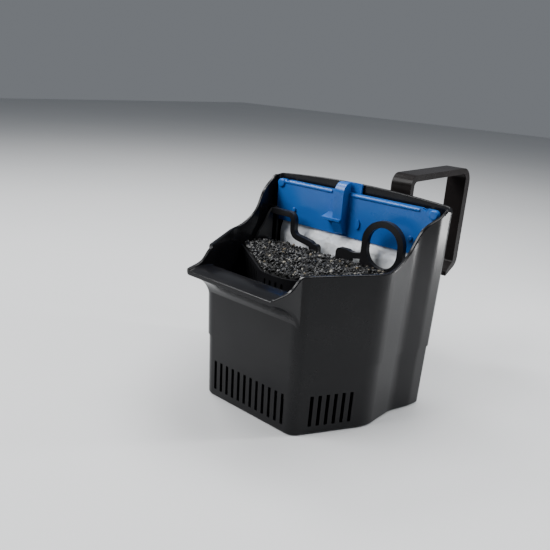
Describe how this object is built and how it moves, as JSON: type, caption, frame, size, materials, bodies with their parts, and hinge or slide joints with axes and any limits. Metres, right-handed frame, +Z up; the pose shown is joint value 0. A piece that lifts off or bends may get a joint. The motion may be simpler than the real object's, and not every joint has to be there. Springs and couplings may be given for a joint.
{
  "type": "internal aquarium power filter",
  "caption": "Internal aquarium power filter: open black tub with front spillway, pump base, lift-out blue-framed floss cartridge, scrubber basket with pull ring, and rim bracket.",
  "frame": {"origin": "middle of the base's flat underside, on the left-right symmetry plane of the tub", "axes": "+Z up, the spillway faces -Y, the hanging bracket stands behind at +Y, +X is to the right seen from the front"},
  "size_m": [0.1536, 0.2295, 0.1595],
  "materials": {
    "tub_plastic": "satin gloss black moulding",
    "base_plastic": "satin gloss black moulding",
    "screen_plastic": "fine matt black",
    "pump_plastic": "matt black",
    "potting": "cast resin",
    "lamination": "stacked steel sheet",
    "bobbin_plastic": "natural nylon",
    "copper": "enamelled copper wire",
    "rubber": "matt",
    "stainless": "plain stainless",
    "cup_rubber": "smooth soft rubber",
    "ceramic": "ground ceramic",
    "magnet": "sintered ferrite",
    "impeller_plastic": "natural acetal",
    "duct_plastic": "matt black",
    "bracket_plastic": "fine satin black",
    "cartridge_blue": "gloss blue moulding",
    "floss": "bonded white floss",
    "carbon": "granules",
    "scrubber_plastic": "satin black",
    "media": "coarse black granules with bright facets"
  },
  "bodies": {
    "housing": {"filter_tub": "tub_plastic", "base_housing": "base_plastic", "base_screws": "stainless", "intake_screen": "screen_plastic", "pump_case": "pump_plastic", "pump_end_cap": "potting", "stator_core": "lamination", "coil_bobbin": "bobbin_plastic", "stator_coil": "copper", "cord_gland": "rubber", "volute_cover": "pump_plastic", "cover_screws": "stainless", "volute_seal": "rubber", "front_bush": "rubber", "rear_bush": "rubber", "impeller_shaft": "ceramic", "thrust_washers": "ceramic", "riser_seal": "rubber", "outlet_duct": "duct_plastic", "pump_pads": "rubber", "suction_cups": "cup_rubber"},
    "rotor": {"rotor_magnet": "magnet", "impeller": "impeller_plastic"},
    "bracket": {"hanging_bracket": "bracket_plastic"},
    "cartridge": {"cartridge_frame_front": "cartridge_blue", "cartridge_frame_back": "cartridge_blue", "floss_bag": "floss", "carbon_fill": "carbon"},
    "scrubber": {"scrubber_frame": "scrubber_plastic", "basket_curtain": "scrubber_plastic", "scrubber_media": "media"}
  },
  "joints": [
    {"name": "rotor_spin", "type": "hinge", "parent": "housing", "child": "rotor", "pos_m": [0, 0.033, 0.023], "axis": [1, 0, 0], "continuous": true},
    {"name": "bracket_slide", "type": "slide", "parent": "housing", "child": "bracket", "axis": [0, 0, 1], "range_m": [-0.006, 0.03]},
    {"name": "cartridge_lift", "type": "slide", "parent": "housing", "child": "cartridge", "axis": [0, 0, 1], "range_m": [0, 0.1]},
    {"name": "scrubber_lift", "type": "slide", "parent": "housing", "child": "scrubber", "axis": [0, 0, 1], "range_m": [0, 0.1]}
  ]
}
